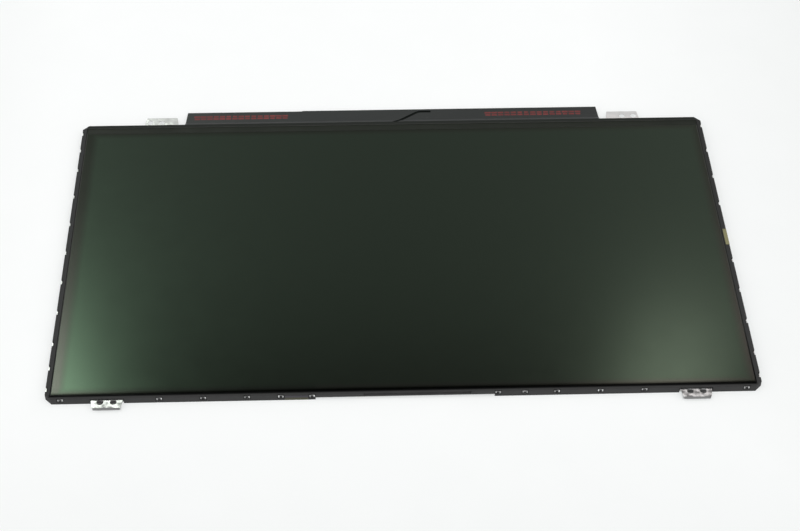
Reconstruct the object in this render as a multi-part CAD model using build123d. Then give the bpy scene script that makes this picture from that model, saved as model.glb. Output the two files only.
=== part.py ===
from build123d import *
import os
from math import sqrt

# A slim 14-inch notebook screen module, lying on its back with the screen up. Millimetres.
# X runs along the long side, +Y towards the driver board, +Z out of the screen.
# The origin is under the middle of the overall outline, on the plane that the back rests on.

# Outline
body_width = 320.4
body_depth = 188.8
corner_cut = 3.0
near_ear_reach = 5.1
far_ear_reach = 6.5
board_reach = 11.2

# Layers, from the back to the front
bead_height = 0.2
cover_thickness = 0.3
reflector_thickness = 0.15
guide_thickness = 0.55
diffuser_thickness = 0.1
prism_thickness = 0.13
film_clearance = 0.09
ledge_thickness = 0.25
cell_tape_thickness = 0.1
rear_polariser_thickness = 0.15
glass_thickness = 0.3
front_polariser_thickness = 0.2
screen_recess = 0.15

# Mould frame, widths measured inwards from its outer face
rim_width = 2.1
near_cell_gap = 0.6
side_cell_gap = 0.25
far_cell_gap = 0.4
lower_wall = 2.6
ledge_reach = 4.4
skirt_width = 0.85
skirt_clearance = 0.05
skirt_lift = 0.1
pocket_clearance = 0.2
relief_length = 80.0
relief_depth = 1.2
relief_height = 1.5
rim_step_x = 5.5
rim_step_length = 48.0
rim_step_depth = 0.7
rim_step_low = 2.2

# Snap tabs of the rear cover, and the nibs of the frame that they catch
tab_width = 2.4
tab_height = 2.4
tab_inset = 0.1
near_tab_inset = 0.35
bend_radius = 0.15
window_width = 1.3
window_height = 1.0
window_bar = 0.3
nib_clearance = 0.05
notch_depth = 0.8
notch_side = 0.3
guard_depth = 0.25
guard_height = 1.1
tab_from_relief = 0.3
tab_from_ear = 16.0
near_left_shares = (0.0, 0.205, 0.426, 0.713, 1.0)
near_right_shares = (0.0, 0.184, 0.402, 0.699, 1.0)
near_corner_tab = 7.0
side_tab_pitch = 20.0
left_row_margin = 34.2
left_end_tab = 19.2
left_corner_tab = 6.3
right_row_near_margin = 20.6
right_row_far_margin = 26.4
right_corner_tab = 6.9

# Ears
ear_top = 2.6
ear_lip = 1.3
ear_tip_inset = 0.9
ear_corner_radius = 1.0
ear_hole_radius = 1.5
ear_hole_pitch = 5.9
ear_headroom = 0.3
near_ear_width = 14.2
near_ear_from_side = 28.8
near_ear_shift = -1.1
near_hole_reach = 1.6
far_ear_width = 17.5
far_ear_from_side = 40.3
far_hole_reach = 2.6

# Stiffening beads pressed into the rear cover
bead_width = 5.0
bead_slope = 45.0
bead_margin = 24.0
bead_pitch = 42.0
long_bead_gap = 12.0

# Backlight
film_tab_width = 9.0
film_tab_reach = 1.0
film_tab_play = 0.2
film_tab_margin = 52.0
led_strip_width = 4.3
led_strip_thickness = 0.12
led_pitch = 8.3
led_length = 3.0
led_depth = 1.0
led_height = 0.58
led_setback = 0.8
led_air = 0.1
led_end_margin = 6.0
led_window_side = 0.25
led_window_edge = 0.12
led_window_depth = 0.3
led_tail_from_end = 44.6
led_tail_width = 8.0
led_tail_slack = 0.3
led_tail_headroom = 0.1

# Screen cell
filter_setback = 3.4
polariser_margin = 0.4
tape_margin = 0.1

# Driver chips and flexes on the array glass
flex_pitch = 50.0
flex_pairs = 2
flex_width = 28.0
flex_thickness = 0.08
flex_bond = 1.6
flex_drop_start = 0.2
flex_drop_end = 2.4
flex_pad = 2.0
flex_bend = 0.4
flex_slot_side = 0.5
flex_slot_under = 0.1
flex_slot_over = 0.12
source_chip_length = 20.0
source_chip_width = 1.0
source_chip_height = 0.25
source_chip_setback = 0.4
ledge_tape_thickness = 0.1

# Driver board
board_ear_gap = 4.55
board_thickness = 0.6
board_under = 1.2
board_gap = 0.3
board_tape_thickness = 0.1
shelf_reach = 2.2
shelf_low = 0.2
peg_radius = 0.6
peg_play = 0.1
peg_reach = 1.3
peg_margin = 24.0
cover_film = 0.1
cover_overlap = 1.3
cover_taper = 1.0
cover_edge = 0.2
cover_start_rise = 0.2
cover_foot = 2.7
cover_step = 0.35
cover_step_from_end = 60.7
slit_width = 1.5
slit_start_x = -0.2
slit_bend_x = 13.2
slit_end_x = 20.0
slit_start_reach = 0.5
slit_end_reach = 10.0
slit_radius = 6.0

# Parts on the back of the board
timing_chip_size = 7.0
timing_chip_height = 0.85
timing_chip_x = 12.0
power_chip_size = 5.0
power_chip_height = 0.8
power_chip_from_tail = 28.0
chip_edge = 0.12
inductor_size = 4.0
inductor_height = 0.95
inductor_corner = 0.9
inductors_from_tail = (14.0, 19.4, 37.4)
capacitor_row_reach = 4.0
capacitor_size = (1.6, 0.8, 0.75)
capacitor_end_margin = 6.6
capacitor_plug_gap = 9.0
capacitor_pitch = 6.5
resistor_size = (1.0, 0.5, 0.35)
resistor_end_margin = 8.6
resistor_plug_gap = 7.0
resistor_pitch = 4.9
resistor_row_reach = 9.8
chip_row_reach = 7.0

# Signal connector
plug_from_end = 30.6
plug_width = 22.0
plug_depth = 4.2
plug_height = 1.05
plug_mouth_width = 17.0
plug_mouth_height = 0.45
plug_roof = 0.35
contact_count = 30
contact_pitch = 0.5
contact_width = 0.2
contact_thickness = 0.12
contact_setback = 0.6
contact_tail = 0.7
shell_thickness = 0.12

# Connector of the backlight's tail
tail_plug_margin = 0.8
tail_plug_depth = 3.6
tail_plug_under = 0.35
tail_plug_reach = 4.6
tail_insert = 2.2
tail_slot_play = 0.02

# Adhesive strips at the edge
strip_thickness = 0.06
side_strip_y = 3.2
side_strip_length = 11.0
side_strip_low = 0.6
side_strip_over = 1.7
near_strip_margin = 0.3
near_strip_top_gap = 0.3
strip_low = 0.15
relief_strip_x = -15.0
relief_strip_length = 14.0
relief_strip_height = 1.3

# Plan positions
body_y = (near_ear_reach - board_reach) / 2
half_width = body_width / 2
near_y = body_y - body_depth / 2
far_y = body_y + body_depth / 2
sheet_inset = skirt_width + skirt_clearance
cover_root = -sheet_inset - cover_thickness
passage_reach = (lower_wall + sheet_inset) / 2
near_ear_x = half_width - near_ear_from_side
far_ear_x = half_width - far_ear_from_side
board_half = far_ear_x - far_ear_width / 2 - board_ear_gap
board_length = 2 * board_half
led_tail_x = led_tail_from_end - board_half
plug_x = board_half - plug_from_end
board_near = far_y + board_gap
board_far = far_y + board_reach - cover_edge
power_chip_x = led_tail_x + power_chip_from_tail
inductor_row = [led_tail_x + reach for reach in inductors_from_tail]
plug_back = board_far - plug_depth
tail_way_width = led_tail_width + 2 * led_tail_slack
tail_plug_width = led_tail_width + 2 * tail_plug_margin

# Heights
inside_z = bead_height + cover_thickness
guide_z = inside_z + reflector_thickness
films_z = guide_z + guide_thickness
film_stack_z = films_z + 2 * (diffuser_thickness + prism_thickness)
ledge_under_z = film_stack_z + film_clearance
ledge_z = ledge_under_z + ledge_thickness
cell_z = ledge_z + cell_tape_thickness
array_z = cell_z + rear_polariser_thickness
filter_z = array_z + glass_thickness
front_z = filter_z + glass_thickness
screen_z = front_z + front_polariser_thickness
top_z = screen_z + screen_recess
tab_top = bead_height + tab_height
window_top = tab_top - window_bar
window_low = window_top - window_height
board_z = board_under + board_thickness
shelf_top = board_under - board_tape_thickness
led_strip_top = inside_z + led_strip_thickness

# Edges of the backlight and of the screen cell
pocket_half = half_width - lower_wall
pocket_near = near_y + lower_wall
pocket_far = far_y - lower_wall
guide_width = 2 * (pocket_half - pocket_clearance)
guide_near = pocket_near + pocket_clearance
strip_far = pocket_far - pocket_clearance
strip_near = strip_far - led_strip_width
led_far = strip_far - led_setback
led_front = led_far - led_depth
guide_far = led_front - led_air
cell_width = 2 * (half_width - rim_width - side_cell_gap)
cell_near = near_y + rim_width + near_cell_gap
cell_far = far_y - rim_width - far_cell_gap
filter_far = cell_far - filter_setback

# Sections through a wall are drawn with x outwards and y up, for the near wall.
wall_section = Plane(origin=(0, 0, 0), x_dir=(0, -1, 0), z_dir=(-1, 0, 0))


def bar(x, width, y0, y1, z0, z1):
    """Block about a middle x, between two depths and two heights."""
    return Pos(x, (y0 + y1) / 2, (z0 + z1) / 2) * Box(width, y1 - y0, z1 - z0)


def inset_block(inset, z0, z1):
    """Block of the body's square plan, drawn in by an inset on all four sides."""
    return bar(0, body_width - 2 * inset, near_y + inset, far_y - inset, z0, z1)


def wall_block(width, inner, outer, z0, z1):
    """Block across the near wall, from inner to outer reach beyond the wall's face."""
    return bar(0, width, -outer, -inner, z0, z1)


def wall_extrusion(face, width):
    """Wall section drawn outwards and up, drawn out along the wall."""
    return extrude(wall_section * face, width / 2, both=True)


def bent_strip(points, radius, thickness, width):
    """Strip of bent sheet or film whose lower and outer surface follows the points."""
    path = FilletPolyline(*points, radius=radius)
    face = make_face(offset(path, amount=thickness, side=Side.LEFT))
    return wall_extrusion(face, width)


def along_walls(near=(), far=(), left=(), right=()):
    """Places on the four walls, each turned so that its own -Y points out of the wall."""
    return (
        [Location((x, near_y, 0)) for x in near]
        + [Location((x, far_y, 0), (0, 0, 180)) for x in far]
        + [Location((-half_width, y, 0), (0, 0, -90)) for y in left]
        + [Location((half_width, y, 0), (0, 0, 90)) for y in right]
    )


def spread(first, last, pitch):
    """Even places from first to last, about one pitch apart."""
    count = max(1, round((last - first) / pitch))
    return [first + (last - first) * i / count for i in range(count + 1)]


def group(pieces):
    """Separate solids kept together as one group."""
    return Compound([solid for piece in pieces for solid in piece.solids()])


# Places of the snap tabs
def near_run(side, shares):
    """Tabs along one half of the near wall, from the relief's end to the ear."""
    start = relief_length / 2 + tab_from_relief + tab_width / 2
    end = near_ear_x + side * near_ear_shift - near_ear_width / 2 - tab_from_ear
    return [side * (start + share * (end - start)) for share in shares]


near_left_run = near_run(-1, near_left_shares)
near_tabs = near_left_run + near_run(1, near_right_shares)
near_tabs += [side * (half_width - near_corner_tab) for side in (-1, 1)]
left_row = spread(near_y + left_row_margin, far_y - left_row_margin, side_tab_pitch)
left_ends = [near_y + left_corner_tab, near_y + left_end_tab]
left_ends += [far_y - left_end_tab, far_y - left_corner_tab]
right_row = spread(near_y + right_row_near_margin, far_y - right_row_far_margin, side_tab_pitch)
right_ends = [near_y + right_corner_tab, far_y - right_corner_tab]
near_tab_places = along_walls(near=near_tabs)
side_tab_places = along_walls(left=left_row + left_ends, right=right_row + right_ends)
near_ear_places = along_walls(near=(near_ear_shift - near_ear_x, near_ear_shift + near_ear_x))
far_ear_places = along_walls(far=(-far_ear_x, far_ear_x))


def body_outline(inset):
    """Plan of the body with its four corners cut, drawn in by an inset."""
    plan = Rectangle(body_width - 2 * inset, body_depth - 2 * inset)
    cut = corner_cut - inset * (2 - sqrt(2))
    return Pos(0, body_y) * chamfer(plan.vertices(), cut)


def sheet_outline(play):
    """Plan of the rear cover's flat sheet, grown by some play, set back behind the near wall's relief."""
    setback = relief_depth + sheet_inset - play
    notch = Rectangle(relief_length + 2 * (sheet_inset - play), setback, align=(Align.CENTER, Align.MIN))
    return body_outline(sheet_inset - play) - Pos(0, near_y) * notch


def snap_tab(inset):
    """Upturned tab of the rear cover with a window near its top, set in from the wall's face."""
    back = -inset - cover_thickness
    points = (
        (cover_root, bead_height),
        (-inset - bend_radius, bead_height),
        (-inset, bead_height + bend_radius),
        (-inset, tab_top),
        (back, tab_top),
        (back, inside_z),
        (cover_root, inside_z),
    )
    tab = wall_extrusion(make_face(Polyline(*points, close=True)), tab_width)
    return tab - wall_block(window_width, -sheet_inset, 0, window_low, window_top)


def ear(width, reach, hole_reach, hole_offsets):
    """Mounting ear: a flange up the wall, a plate outwards with holes, and a lip turned down."""
    plate_under = ear_top - cover_thickness
    points = (
        (cover_root, bead_height),
        (-tab_inset, bead_height),
        (-tab_inset, plate_under),
        (reach - cover_thickness, plate_under),
        (reach - cover_thickness, ear_top - ear_lip),
    )
    radii = [bend_radius + cover_thickness, bend_radius, bend_radius]
    bracket = bent_strip(points, radii, cover_thickness, width)
    tip = width / 2 - ear_tip_inset
    plan = make_face(Polyline(
        (-width / 2, -cover_root), (width / 2, -cover_root), (width / 2, 0), (tip, -reach),
        (-tip, -reach), (-width / 2, 0), close=True))
    plan = fillet(plan.vertices().group_by(Axis.Y)[0], ear_corner_radius)
    bracket = bracket & extrude(plan, ear_top)
    drill = Cylinder(ear_hole_radius, 2 * ear_top)
    return bracket - [Pos(x, -hole_reach, ear_top) * drill for x in hole_offsets]


def octagon_ended(length, width):
    """Bar whose ends are halves of a regular octagon."""
    bar = Rectangle(length, width)
    return chamfer(bar.vertices(), width / (2 + sqrt(2)))


def bead(length, turn=0):
    """Pressed bead: a low ridge on the back and its groove inside, as two solids."""
    narrower = 2 * bead_height
    ridge = extrude(octagon_ended(length, bead_width), bead_height, taper=bead_slope)
    groove = extrude(octagon_ended(length - narrower, bead_width - narrower), bead_height, taper=bead_slope)
    over = Rot(180, 0, turn)
    return Pos(0, 0, bead_height) * over * ridge, Pos(0, 0, inside_z) * over * groove


def bead_layout():
    """Two long beads along the body and a row of short ones between them."""
    long_length = body_width - 2 * bead_margin
    short_length = body_depth - 2 * (bead_margin + bead_width + long_bead_gap)
    row = spread(-long_length / 2 + bead_width, long_length / 2 - bead_width, bead_pitch)
    reach = body_depth / 2 - bead_margin - bead_width / 2
    long_bead = bead(long_length)
    short_bead = bead(short_length, 90)
    places = [(Pos(0, body_y + side * reach), long_bead) for side in (-1, 1)]
    return places + [(Pos(x, body_y), short_bead) for x in row]


def rear_cover():
    """Stamped steel tray: flat sheet with pressed beads, snap tabs and four mounting ears."""
    flat = Pos(0, 0, bead_height) * extrude(sheet_outline(0), cover_thickness)
    pitch = ear_hole_pitch
    near_ear = ear(near_ear_width, near_ear_reach, near_hole_reach, (-pitch / 2, pitch / 2))
    far_left = ear(far_ear_width, far_ear_reach, far_hole_reach, (0, pitch))
    far_right = ear(far_ear_width, far_ear_reach, far_hole_reach, (0, -pitch))
    near_tab = snap_tab(near_tab_inset)
    side_tab = snap_tab(tab_inset)
    beads = bead_layout()
    upturned = [place * near_tab for place in near_tab_places]
    upturned += [place * side_tab for place in side_tab_places]
    upturned += [place * near_ear for place in near_ear_places]
    upturned += [far_ear_places[0] * far_left, far_ear_places[1] * far_right]
    cover = flat + upturned + [place * pair[0] for place, pair in beads]
    return cover - [place * pair[1] for place, pair in beads]


def nib():
    """Snap nib that fills a tab's window: flat on top, sloped below."""
    low = window_low + nib_clearance
    high = window_top - nib_clearance
    face = make_face(Polyline(
        (-notch_depth, low), (0, (low + high) / 2), (0, high), (-notch_depth, high), close=True))
    return wall_extrusion(face, window_width - 2 * nib_clearance)


def tab_notch():
    """Room for a snap tab in the frame's wall, open at the top, with a way through the skirt."""
    width = tab_width + 2 * notch_side
    return wall_block(width, -notch_depth, notch_depth, 0, 2 * top_z) + wall_block(
        width, -passage_reach, notch_depth, 0, inside_z)


def guarded_notch():
    """Room for a snap tab, with the foot of the wall left standing in front of the tab."""
    width = tab_width + 4 * notch_side
    return tab_notch() - wall_block(width, -guard_depth, 2 * notch_depth, 0, skirt_lift + guard_height)


def ear_notch(width):
    """Room for an ear's flange in the frame's wall, closed above it."""
    width = width + 2 * notch_side
    return wall_block(width, -notch_depth, notch_depth, 0, ear_top + ear_headroom) + wall_block(
        width, -passage_reach, notch_depth, 0, inside_z)


def flex_places():
    """Middles of the flexes along the far edge."""
    return [side * (i + 0.5) * flex_pitch for side in (-1, 1) for i in range(flex_pairs)]


def film_tab_places():
    """Middles of the optical sheets' locating tabs along the short sides."""
    return [near_y + film_tab_margin, far_y - film_tab_margin]


def peg_places():
    """Middles of the pegs on the shelf that locate the board."""
    return [(side * (board_half - peg_margin), far_y + peg_reach) for side in (-1, 1)]


def peg_holes():
    """Clearance holes through the board, round the pegs."""
    hole = Cylinder(peg_radius + peg_play, 2 * board_z)
    return [Pos(*place, board_z) * hole for place in peg_places()]


def mould_frame():
    """Black moulded ring: rim, ledge under the glass, walls round the backlight, nibs and board shelf."""
    height = top_z - skirt_lift
    frame = Pos(0, 0, skirt_lift) * extrude(body_outline(0), height)
    opening = inset_block(ledge_reach, 0, 2 * top_z)
    cell_pocket = inset_block(rim_width, ledge_z, 2 * top_z)
    light_pocket = inset_block(lower_wall, 0, ledge_under_z)
    sheet_pocket = extrude(sheet_outline(skirt_clearance), inside_z)
    relief = Pos(0, near_y) * wall_block(relief_length, -relief_depth, relief_depth, 0, relief_height)
    rim_step = wall_block(rim_step_length, -rim_step_depth, rim_step_depth, rim_step_low, 2 * top_z)
    notches = [place * guarded_notch() for place in near_tab_places]
    notches += [place * tab_notch() for place in side_tab_places]
    notches += [place * ear_notch(near_ear_width) for place in near_ear_places]
    notches += [place * ear_notch(far_ear_width) for place in far_ear_places]
    recess_half = film_tab_width / 2 + film_tab_play
    recess_width = 2 * (pocket_half + film_tab_reach)
    film_recesses = [
        bar(0, recess_width, y - recess_half, y + recess_half, 0, ledge_under_z) for y in film_tab_places()
    ]
    slot_width = flex_width + 2 * flex_slot_side
    slot_low = filter_z - flex_slot_under
    slot_high = filter_z + flex_thickness + flex_slot_over
    slots = [
        bar(x, slot_width, far_y - ledge_reach, far_y + rim_width, slot_low, slot_high)
        for x in flex_places()
    ]
    tail_way = bar(led_tail_x, tail_way_width, pocket_far - led_setback, far_y + lower_wall,
                   inside_z, led_strip_top + led_tail_headroom)
    pockets = [opening, cell_pocket, light_pocket, sheet_pocket, relief, tail_way]
    pockets.append(Pos(rim_step_x, near_y) * rim_step)
    frame = frame - pockets - film_recesses - notches - slots
    shelf = bar(0, board_length, far_y, far_y + shelf_reach, shelf_low, shelf_top)
    shelf = shelf - bar(led_tail_x, tail_way_width, far_y, far_y + 2 * shelf_reach, 0, board_z)
    peg = extrude(Circle(peg_radius), board_z - peg_play - shelf_low)
    pegs = [Pos(*place, shelf_low) * peg for place in peg_places()]
    nibs = [place * nib() for place in near_tab_places + side_tab_places]
    return frame + nibs + [shelf] + pegs


def optical_sheet(z, thickness):
    """Sheet that fills the frame's pocket, with two locating tabs on each short side."""
    tab_half = film_tab_width / 2
    full_width = guide_width + 2 * film_tab_reach
    top = z + thickness
    sheet = bar(0, guide_width, guide_near, guide_far, z, top)
    return sheet + [bar(0, full_width, y - tab_half, y + tab_half, z, top) for y in film_tab_places()]


def reflector_sheet():
    """White sheet behind the light guide, ending at the LED strip."""
    return bar(0, guide_width, guide_near, strip_near - led_air, inside_z, guide_z)


def led_strip():
    """Flex strip along the light guide's far edge, with a tail to the board."""
    tail_end = far_y + tail_plug_reach + tail_insert
    strip = bar(0, guide_width, strip_near, strip_far, inside_z, led_strip_top)
    return strip + bar(led_tail_x, led_tail_width, strip_far, tail_end, inside_z, led_strip_top)


def leds():
    """Row of side-firing LEDs, each with a shallow window towards the light guide."""
    led_top = led_strip_top + led_height
    body = bar(0, led_length, led_front, led_far, led_strip_top, led_top)
    window = bar(0, led_length - 2 * led_window_side, led_front, led_front + led_window_depth,
                 led_strip_top + led_window_edge, led_top - led_window_edge)
    reach = guide_width / 2 - led_end_margin
    return group([Pos(x, 0, 0) * (body - window) for x in spread(-reach, reach, led_pitch)])


def cell_layer(margin, far, z, thickness):
    """Layer of the screen cell, drawn in by a margin on each side."""
    return bar(0, cell_width - 2 * margin, cell_near + margin, far - margin, z, z + thickness)


def cell_tape():
    """Adhesive ring between the frame's ledge and the cell."""
    outer = rim_width + near_cell_gap + tape_margin
    inner = ledge_reach - tape_margin
    return inset_block(outer, ledge_z, cell_z) - inset_block(inner, ledge_z, cell_z)


def source_chips():
    """Driver chips on the array glass, beside the colour filter."""
    near = filter_far + source_chip_setback
    far = near + source_chip_width
    top = filter_z + source_chip_height
    return group([bar(x, source_chip_length, near, far, filter_z, top) for x in flex_places()])


def board_flexes():
    """Flexes from the array glass, through the rim's slots, down to the board."""
    start = cell_far - far_y - flex_bond
    points = (
        (start, filter_z),
        (flex_drop_start, filter_z),
        (flex_drop_end, board_z),
        (flex_drop_end + flex_pad, board_z),
    )
    flex = bent_strip(points, flex_bend, flex_thickness, flex_width)
    return group([place * flex for place in along_walls(far=flex_places())])


def ledge_tape():
    """Black strip over the driver ledge, resting on the chips."""
    low = filter_z + source_chip_height
    return bar(0, cell_width, filter_far + tape_margin, far_y - rim_width - tape_margin,
               low, low + ledge_tape_thickness)


def driver_board():
    """Printed circuit board beyond the far wall, with a hole over each peg."""
    return bar(0, board_length, board_near, board_far, board_under, board_z) - peg_holes()


def board_tape():
    """Adhesive strip between the frame's shelf and the board, parted at the LED tail and the pegs."""
    partings = [(led_tail_x, tail_way_width / 2)]
    partings += [(x, peg_radius + peg_play) for x, y in peg_places()]
    starts = [-board_half] + [x + half for x, half in sorted(partings)]
    ends = [x - half for x, half in sorted(partings)] + [board_half]
    tape_far = far_y + shelf_reach
    return group([
        bar((start + end) / 2, end - start, board_near, tape_far, shelf_top, board_under)
        for start, end in zip(starts, ends)
    ])


def board_cover():
    """Film over the board: rises to the wall, with tapered ends, a step in its edge and a curved slit."""
    film_z = board_z + flex_thickness
    wall_z = filter_z + flex_thickness + cover_start_rise
    half = board_half + cover_overlap
    points = (
        (skirt_clearance, wall_z),
        (flex_drop_start + cover_start_rise, wall_z),
        (cover_foot, film_z),
        (board_reach, film_z),
    )
    film = bent_strip(points, flex_bend, cover_film, 2 * half)
    stepped = board_reach - cover_step
    plan = make_face(Polyline(
        (-half, 0), (half, 0), (half - cover_taper, board_reach), (cover_step_from_end - half, board_reach),
        (cover_step_from_end - half, stepped), (cover_taper - half, stepped), close=True))
    slit_path = FilletPolyline(
        (slit_start_x, slit_start_reach), (slit_bend_x, slit_end_reach), (slit_end_x, slit_end_reach),
        radius=slit_radius)
    slit = make_face(offset(slit_path, amount=slit_width, side=Side.RIGHT))
    trimmed = (Rot(0, 0, 180) * film) & extrude(plan, top_z)
    return Pos(0, far_y) * (trimmed - extrude(slit, top_z))


def under_board(x, y, size_x, size_y, height):
    """Block hanging from the board's back, about a middle point."""
    return bar(x, size_x, y - size_y / 2, y + size_y / 2, board_under - height, board_under)


def chip(x, size, height):
    """Square chip package with its lower edges broken."""
    block = under_board(x, far_y + chip_row_reach, size, size, height)
    return chamfer(block.faces().sort_by(Axis.Z)[0].edges(), chip_edge)


def inductors():
    """Shielded inductors with cut corners."""
    plan = Rectangle(inductor_size, inductor_size)
    plan = chamfer(plan.vertices(), inductor_corner)
    block = Pos(0, far_y + chip_row_reach, board_under - inductor_height) * extrude(plan, inductor_height)
    return group([Pos(x, 0, 0) * block for x in inductor_row])


def passives(size, end_margin, plug_gap, pitch, reach):
    """Row of small two-ended parts along the board, left out where a larger part stands."""
    first = end_margin - board_half
    last = plug_x - plug_width / 2 - plug_gap
    taken = [(timing_chip_x, timing_chip_size), (power_chip_x, power_chip_size)]
    taken += [(x, inductor_size) for x in inductor_row]
    taken += [(led_tail_x, tail_plug_width), (plug_x, plug_width)]
    free = [
        x for x in spread(first, last, pitch)
        if all(abs(x - middle) > (width + size[0]) / 2 + size[1] for middle, width in taken)
    ]
    return group([under_board(x, far_y + reach, *size) for x in free])


def signal_connector():
    """Low connector at the board's far edge, its mouth towards +Y and open behind for the contacts."""
    low = board_under - plug_height + shell_thickness
    roof = board_under - plug_roof
    body = bar(plug_x, plug_width, plug_back, board_far, low, board_under)
    return body - bar(plug_x, plug_mouth_width, plug_back, board_far, roof - plug_mouth_height, roof)


def connector_contacts():
    """Row of contacts under the mouth's roof, with tails that step up to the board."""
    roof = board_under - plug_roof
    front = board_far - contact_setback
    step = plug_back - contact_thickness
    points = (
        (front, roof - contact_thickness),
        (step - contact_thickness, roof - contact_thickness),
        (step - contact_thickness, board_under - contact_thickness),
        (plug_back - contact_tail, board_under - contact_thickness),
        (plug_back - contact_tail, board_under),
        (step, board_under),
        (step, roof),
        (front, roof),
    )
    face = make_face(Polyline(*points, close=True))
    contact = extrude(Plane.YZ * face, contact_width / 2, both=True)
    first = plug_x - contact_pitch * (contact_count - 1) / 2
    return group([Pos(first + i * contact_pitch, 0, 0) * contact for i in range(contact_count)])


def connector_shell():
    """Thin steel cover round the connector, open at the mouth and behind."""
    low = board_under - plug_height
    outer = bar(plug_x, plug_width + 2 * shell_thickness, plug_back, board_far, low, board_under)
    return outer - bar(plug_x, plug_width, plug_back, board_far, low + shell_thickness, board_under)


def led_connector():
    """Connector on the board's back that takes the backlight's tail."""
    play = tail_slot_play
    near = far_y + tail_plug_reach
    body = bar(led_tail_x, tail_plug_width, near, near + tail_plug_depth, tail_plug_under, board_under)
    return body - bar(led_tail_x, led_tail_width + 2 * play, near, near + tail_insert + play,
                      inside_z - play, led_strip_top + play)


def side_tape():
    """Amber strip folded over the right-hand rim."""
    face = make_face(Polyline(
        (0, side_strip_low), (strip_thickness, side_strip_low), (strip_thickness, top_z + strip_thickness),
        (-side_strip_over, top_z + strip_thickness), (-side_strip_over, top_z), (0, top_z), close=True))
    strip = wall_extrusion(face, side_strip_length)
    return along_walls(right=[body_y + side_strip_y])[0] * strip


def near_tape():
    """Amber strip on the near wall, between the first two tabs left of the middle."""
    notch = tab_width + 2 * notch_side
    first, second = near_left_run[:2]
    length = first - second - notch - 2 * near_strip_margin
    strip = wall_block(length, 0, strip_thickness, strip_low, top_z - near_strip_top_gap)
    return Pos((first + second) / 2, near_y) * strip


def relief_tape():
    """Amber strip on the back of the near wall's relief."""
    strip = wall_block(relief_strip_length, -relief_depth, strip_thickness - relief_depth,
                       strip_low, strip_low + relief_strip_height)
    return Pos(relief_strip_x, near_y) * strip


lower_prism_z = films_z + diffuser_thickness
upper_prism_z = lower_prism_z + prism_thickness
upper_diffuser_z = upper_prism_z + prism_thickness

nodes = {
    "rear_cover": rear_cover(),
    "mould_frame": mould_frame(),
    "reflector_sheet": reflector_sheet(),
    "light_guide_plate": optical_sheet(guide_z, guide_thickness),
    "led_strip": led_strip(),
    "leds": leds(),
    "lower_diffuser": optical_sheet(films_z, diffuser_thickness),
    "lower_prism_sheet": optical_sheet(lower_prism_z, prism_thickness),
    "upper_prism_sheet": optical_sheet(upper_prism_z, prism_thickness),
    "upper_diffuser": optical_sheet(upper_diffuser_z, diffuser_thickness),
    "cell_tape": cell_tape(),
    "rear_polariser": cell_layer(polariser_margin, cell_far, cell_z, rear_polariser_thickness),
    "array_glass": cell_layer(0, cell_far, array_z, glass_thickness),
    "colour_filter_glass": cell_layer(0, filter_far, filter_z, glass_thickness),
    "front_polariser": cell_layer(polariser_margin, filter_far, front_z, front_polariser_thickness),
    "source_chips": source_chips(),
    "board_flexes": board_flexes(),
    "ledge_tape": ledge_tape(),
    "driver_board": driver_board(),
    "board_tape": board_tape(),
    "board_cover": board_cover(),
    "timing_chip": chip(timing_chip_x, timing_chip_size, timing_chip_height),
    "power_chip": chip(power_chip_x, power_chip_size, power_chip_height),
    "inductors": inductors(),
    "capacitors": passives(
        capacitor_size, capacitor_end_margin, capacitor_plug_gap, capacitor_pitch, capacitor_row_reach),
    "resistors": passives(
        resistor_size, resistor_end_margin, resistor_plug_gap, resistor_pitch, resistor_row_reach),
    "signal_connector": signal_connector(),
    "connector_contacts": connector_contacts(),
    "connector_shell": connector_shell(),
    "led_connector": led_connector(),
    "side_tape": side_tape(),
    "near_tape": near_tape(),
    "relief_tape": relief_tape(),
}

os.makedirs("parts", exist_ok=True)
for name, shape in nodes.items():
    export_step(shape, f"parts/{name}.step")
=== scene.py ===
import random
from math import cos, radians, sin, tan

import bpy
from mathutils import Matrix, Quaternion, Vector


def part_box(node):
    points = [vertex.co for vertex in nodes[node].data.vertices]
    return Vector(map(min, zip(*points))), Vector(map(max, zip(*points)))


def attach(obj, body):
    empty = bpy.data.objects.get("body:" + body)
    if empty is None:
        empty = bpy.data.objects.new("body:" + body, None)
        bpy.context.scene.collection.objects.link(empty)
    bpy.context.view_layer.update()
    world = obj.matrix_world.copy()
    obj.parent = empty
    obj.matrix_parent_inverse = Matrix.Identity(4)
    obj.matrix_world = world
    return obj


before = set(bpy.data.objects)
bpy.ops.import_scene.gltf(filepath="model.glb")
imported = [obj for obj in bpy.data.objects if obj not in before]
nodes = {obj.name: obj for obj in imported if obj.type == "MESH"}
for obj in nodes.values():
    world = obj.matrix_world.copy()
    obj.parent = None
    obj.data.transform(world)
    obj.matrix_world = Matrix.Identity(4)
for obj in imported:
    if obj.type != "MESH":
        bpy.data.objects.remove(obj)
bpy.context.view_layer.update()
scene = bpy.context.scene

# A slim 14-inch notebook screen module, lying on its back on white paper. Metres, with lengths written as
# millimetres times MM. X runs along the long side, +Y towards the driver board, +Z out of the screen.
MM = 0.001

# What takes a mask safely past a face
margin = Vector((MM, MM, MM))

# Camera
camera_place = Vector((-23.72, -634.91, 606.07)) * MM
camera_aim = Vector((0.35, -12.73, 0)) * MM
camera_roll = radians(0.547)
camera_lens = 81.45
camera_sensor = 36.0

# Room and lamps: directions are seen from the screen, azimuth from +Y towards +X. A softbox has a name, a
# direction and its width and height in degrees, a radiance and a colour
room_level = 1.0
front_gain = 0.8
wall_level = 0.53
wall_middle = 0.03
wall_side_gain = 7.6
wall_top = (radians(46), radians(47.5))
overhead_level = 1.2
overhead_edge = (radians(60), radians(66))
lamp_distance = 2.0
lamp_watts = 4.0
softboxes = (
    ("left_softbox", (-27.5, 49.3), (10.7, 12.5), 9.5, (0.91, 1.0, 0.89)),
    ("right_softbox", (20.9, 53.3), (4.2, 16.8), 4.0, (1.0, 0.88, 0.86)),
)

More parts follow.
